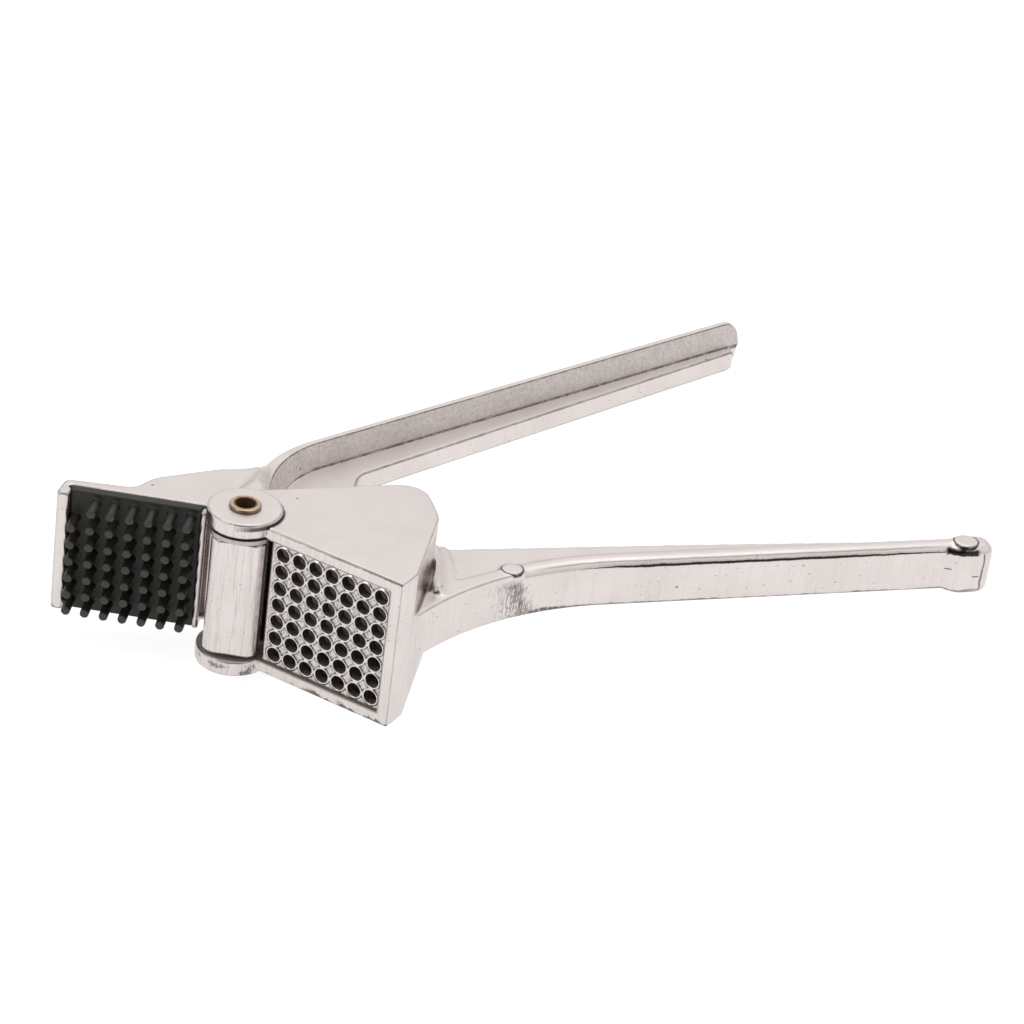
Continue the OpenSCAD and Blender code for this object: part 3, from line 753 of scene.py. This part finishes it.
def sculpt(mesh, shape, rounds):
    """Moves a mesh's points by a shape function, then rounds its edges as by tumbling. Each point keeps the
    place in the section that the function returns, for the material."""
    points = np.empty(len(mesh.vertices) * 3, np.float64)
    mesh.vertices.foreach_get("co", points)
    points = points.reshape(-1, 3)
    edges = np.empty(len(mesh.edges) * 2, np.int64)
    mesh.edges.foreach_get("vertices", edges)
    edges = edges.reshape(-1, 2)
    section = shape(points, edges)
    everywhere = np.full(len(points), 0.5)
    relax(points, edges, everywhere, rounds)
    mesh.vertices.foreach_set("co", points.ravel())
    kept = mesh.attributes.new(SECTION, "FLOAT_VECTOR", "POINT")
    kept.data.foreach_set("vector", section.ravel())
    mesh.update()


def casting(node, body, voxel, rounds, shape, material):
    """The visible piece of a casting, which replaces its CAD node."""
    mesh = remeshed_copy(node, voxel)
    sculpt(mesh, shape, rounds)
    mesh.materials.clear()
    mesh.materials.append(material)
    piece = bpy.data.objects.new(node + "_casting", mesh)
    bpy.context.collection.objects.link(piece)
    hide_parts(node)
    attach(piece, body)


# ---- Stage ----

def add_camera():
    data = bpy.data.cameras.new("camera")
    data.lens = CAMERA_LENS
    data.sensor_width = SENSOR
    data.clip_start = 0.01
    camera = bpy.data.objects.new("camera", data)
    bpy.context.collection.objects.link(camera)
    camera.location = CAMERA_AT
    camera.rotation_euler = Euler([math.radians(a) for a in CAMERA_TURN])
    bpy.context.scene.camera = camera


def add_floor():
    """A pale floor that the press lies on. It can't be seen from below, so that it doesn't hide the
    underside."""
    a, b, c = REST_POINTS
    up = (b - a).cross(c - a).normalized()
    bpy.ops.mesh.primitive_plane_add(size=FLOOR_SIZE, location=a)
    floor = bpy.context.object
    floor.name = "floor"
    floor.rotation_mode = "QUATERNION"
    floor.rotation_quaternion = up.to_track_quat("Z", "Y")
    floor.data.materials.append(floor_material())


def floor_material():
    material = bpy.data.materials.new("floor")
    t = Tree(material)
    body = t.add("ShaderNodeBsdfDiffuse")
    body.inputs["Color"].default_value = FLOOR_COLOUR
    lift = t.add("ShaderNodeEmission")
    path = t.add("ShaderNodeLightPath")
    seen = t.both(path.outputs["Is Camera Ray"], FLOOR_SEEN)
    mirrored = t.both(path.outputs["Is Glossy Ray"], FLOOR_MIRRORED)
    t.link(t.math("ADD", t.math("ADD", seen, mirrored), FLOOR_GLOW), lift.inputs["Strength"])
    both = t.add("ShaderNodeAddShader")
    t.link(body.outputs[0], both.inputs[0])
    t.link(lift.outputs[0], both.inputs[1])
    from_below = t.add("ShaderNodeMixShader")
    t.link(t.add("ShaderNodeNewGeometry").outputs["Backfacing"], from_below.inputs[0])
    t.link(both.outputs[0], from_below.inputs[1])
    t.link(t.add("ShaderNodeBsdfTransparent").outputs[0], from_below.inputs[2])
    out = t.add("ShaderNodeOutputMaterial")
    t.link(from_below.outputs[0], out.inputs["Surface"])
    return material


def add_world():
    """White where the camera sees it. Around it the studio is bright above and dark towards the camera, so
    that the metal's edges are drawn by dark lines."""
    world = bpy.data.worlds.new("world")
    bpy.context.scene.world = world
    t = Tree(world)
    path = t.add("ShaderNodeLightPath")
    place = t.add("ShaderNodeTexCoord").outputs["Generated"]
    height = t.ramp(t.split(place)[2], -0.1, 0.6, WORLD_LOW, WORLD_TOP)
    towards = t.add("ShaderNodeVectorMath", operation="DOT_PRODUCT")
    t.link(place, towards.inputs[0])
    towards.inputs[1].default_value = DARK_SIDE
    outer, inner = math.cos(math.radians(DARK_OUT)), math.cos(math.radians(DARK_IN))
    dark = t.ramp(towards.outputs["Value"], outer, inner, 1.0, DARK_LEVEL)
    white = t.either(path.outputs["Is Camera Ray"], path.outputs["Is Transmission Ray"])
    back = t.add("ShaderNodeBackground")
    t.link(t.either(white, t.both(height, dark)), back.inputs["Strength"])
    out = t.add("ShaderNodeOutputWorld")
    t.link(back.outputs[0], out.inputs["Surface"])


def add_lamp(name, at, size, power):
    """A round lamp that looks at the middle of the part."""
    data = bpy.data.lights.new(name, "AREA")
    data.shape = "DISK"
    data.size = size
    data.energy = power
    lamp = bpy.data.objects.new(name, data)
    bpy.context.collection.objects.link(lamp)
    lamp.location = at
    middle = (Vector(CAD_BOX[0]) + Vector(CAD_BOX[1])) / 2
    lamp.rotation_mode = "QUATERNION"
    lamp.rotation_quaternion = (middle - lamp.location).to_track_quat("-Z", "Y")


bpy.context.scene.view_settings.view_transform = "Standard"
add_camera()
add_floor()
add_world()
for lamp in LAMPS:
    add_lamp(*lamp)

casting("hopper_arm", "hopper", HOPPER_VOXEL, rounds=5, shape=hopper_shape,
        material=cast_aluminium("hopper_aluminium", 0.35, hopper_stain_and_shade, hopper_dirt_and_shade))
casting("plunger_arm", "plunger", PLUNGER_VOXEL, rounds=4, shape=plunger_shape,
        material=cast_aluminium("plunger_aluminium", 0.6, plunger_stain_and_shade, plunger_shade_lines_and_dull_face))
paint("sieve_plate", cast_aluminium("sieve_aluminium", 0.0, sieve_stain_and_shade, sieve_grime))
paint("cleaning_insert", black_plastic())
paint("pivot_rivet", rivet_metal())
paint("thrust_washer", washer_steel())
soften("sieve_plate", SIEVE_VOXEL, rounds=2)
soften("cleaning_insert", INSERT_VOXEL, rounds=2)
